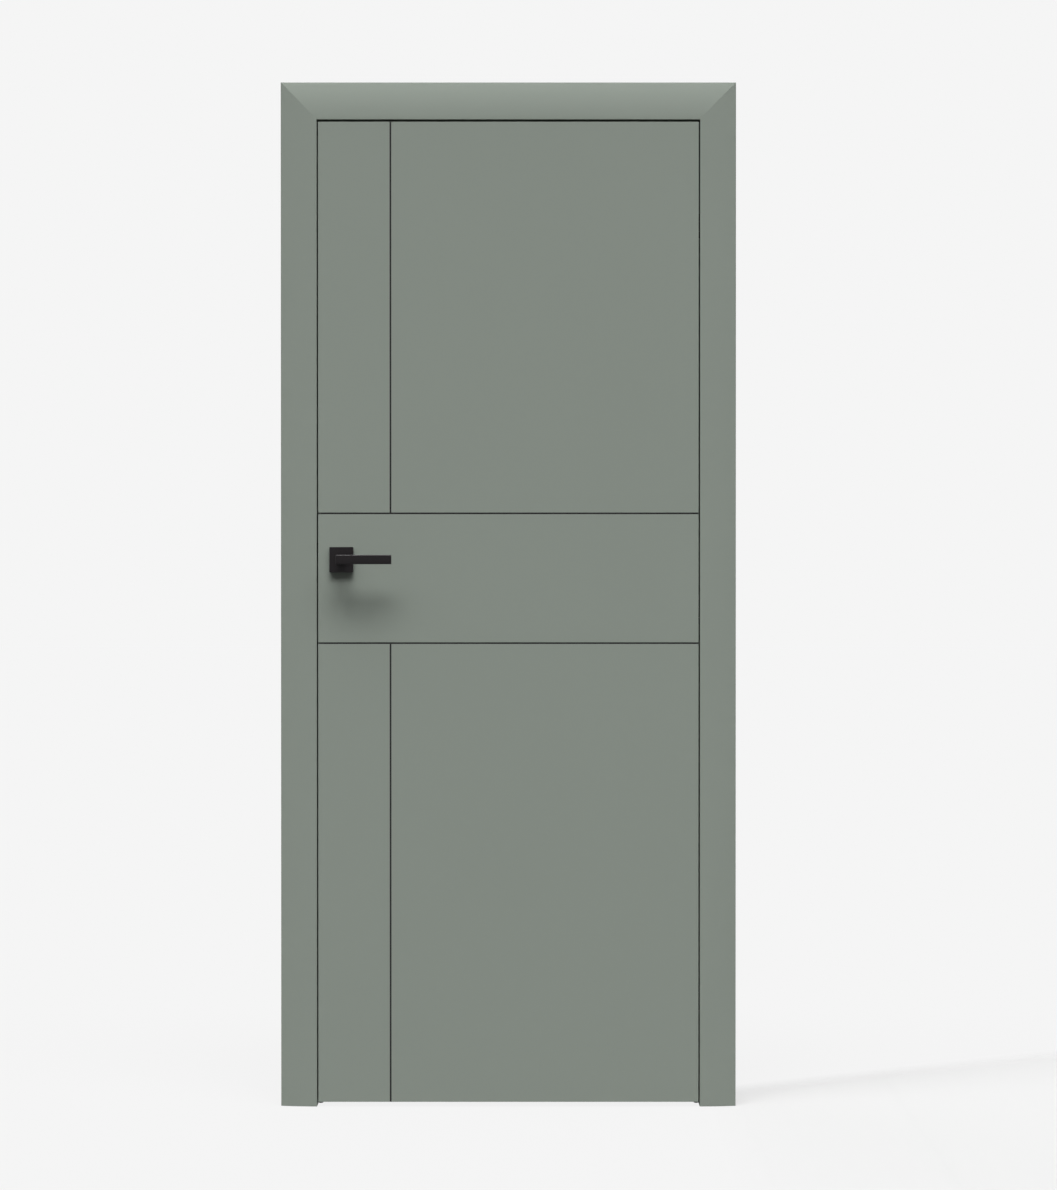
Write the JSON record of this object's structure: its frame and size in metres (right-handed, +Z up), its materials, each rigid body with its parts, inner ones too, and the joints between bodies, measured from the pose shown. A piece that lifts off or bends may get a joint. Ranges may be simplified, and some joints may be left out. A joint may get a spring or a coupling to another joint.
{
  "type": "interior door with frame",
  "caption": "Flush interior door leaf with thin dark inlay lines, a lever handle and concealed hinges, closing into a lining with curved mitred casings.",
  "frame": {"origin": "on the floor, in the middle of the doorway, in the plane of the leaf's front face", "axes": "+Z up, -Y towards the viewer of the picture (the side the leaf opens to), +X to the right: lock edge at -X, hinges at +X"},
  "size_m": [0.9758, 0.187, 2.1956],
  "materials": {
    "paint": "satin grey-green lacquer on fibreboard",
    "solid_wood": "raw softwood, lacquered on the leaf edges",
    "core_board": "raw tubular chipboard",
    "inlay": "matt black strip",
    "seal": "matt",
    "black_metal": "fine matt black powder coat on zinc",
    "steel": "satin",
    "black_steel": "matt black coated steel",
    "cast_metal": "matt black coated casting",
    "plastic": "moulded"
  },
  "bodies": {
    "frame": {"lining_left": "paint", "lining_right": "paint", "lining_head": "paint", "casing_front_left": "paint", "casing_front_right": "paint", "casing_front_head": "paint", "casing_rear_left": "paint", "casing_rear_right": "paint", "casing_rear_head": "paint", "seal_left": "seal", "seal_right": "seal", "seal_head": "seal", "corner_screws": "steel", "strike_plate": "black_steel", "strike_box": "plastic", "strike_screws": "black_steel", "hinge_frame_top": "cast_metal", "hinge_frame_middle": "cast_metal", "hinge_frame_bottom": "cast_metal", "hinge_frame_pins": "steel", "hinge_frame_screws": "black_steel"},
    "leaf": {"hinge_leaf_top": "cast_metal", "hinge_leaf_middle": "cast_metal", "hinge_leaf_bottom": "cast_metal", "hinge_leaf_pins": "steel", "hinge_leaf_screws": "black_steel", "skin_front": "paint", "skin_rear": "paint", "lock_stile": "solid_wood", "hinge_stile": "solid_wood", "top_rail": "solid_wood", "bottom_rail": "solid_wood", "lock_block": "solid_wood", "core": "core_board", "inlay_front_upper": "inlay", "inlay_front_lower": "inlay", "inlay_front_upright_top": "inlay", "inlay_front_upright_foot": "inlay", "inlay_rear_upper": "inlay", "inlay_rear_lower": "inlay", "inlay_rear_upright_top": "inlay", "inlay_rear_upright_foot": "inlay", "lock_case": "steel", "lock_forend": "black_steel", "lock_screws": "black_steel", "rose_front": "black_metal", "rose_rear": "black_metal", "rose_base_front": "plastic", "rose_base_rear": "plastic", "rose_bolts": "steel"},
    "frame_arms": {"hinge_frame_arms": "cast_metal", "hinge_centre_pins": "steel"},
    "leaf_arms": {"hinge_leaf_arms": "cast_metal"},
    "handle": {"lever_front": "black_metal", "lever_rear": "black_metal", "spindle": "steel", "follower": "steel", "lever_grub_screws": "steel"},
    "latch": {"latch_bolt": "black_steel"}
  },
  "joints": [
    {"name": "leaf_swing", "type": "hinge", "parent": "frame", "child": "leaf", "pos_m": [0.40895, 0, 0], "axis": [0, 0, 1], "range_deg": [0, 110]},
    {"name": "frame_arm_turn", "type": "hinge", "parent": "frame", "child": "frame_arms", "pos_m": [0.41595, 0.0162, 1.06], "axis": [0, 0, 1], "range_deg": [0, 110]},
    {"name": "leaf_arm_turn", "type": "hinge", "parent": "leaf", "child": "leaf_arms", "pos_m": [0.40195, 0.0162, 1.06], "axis": [0, 0, 1], "range_deg": [-110, 0]},
    {"name": "lever_turn", "type": "hinge", "parent": "leaf", "child": "handle", "pos_m": [-0.3575, 0.022, 1.173], "axis": [0, 1, 0], "range_deg": [0, 40], "stiffness_Nm_per_rad": 1.5, "springref_deg": -22.92},
    {"name": "latch_slide", "type": "slide", "parent": "leaf", "child": "latch", "axis": [1, 0, 0], "range_m": [0, 0.0112]}
  ],
  "couplings": [
    {"joint": "frame_arm_turn", "follows": "leaf_swing", "ratio": 1},
    {"joint": "leaf_arm_turn", "follows": "leaf_swing", "ratio": -1},
    {"joint": "latch_slide", "follows": "lever_turn", "m_per_rad": 0.016}
  ]
}
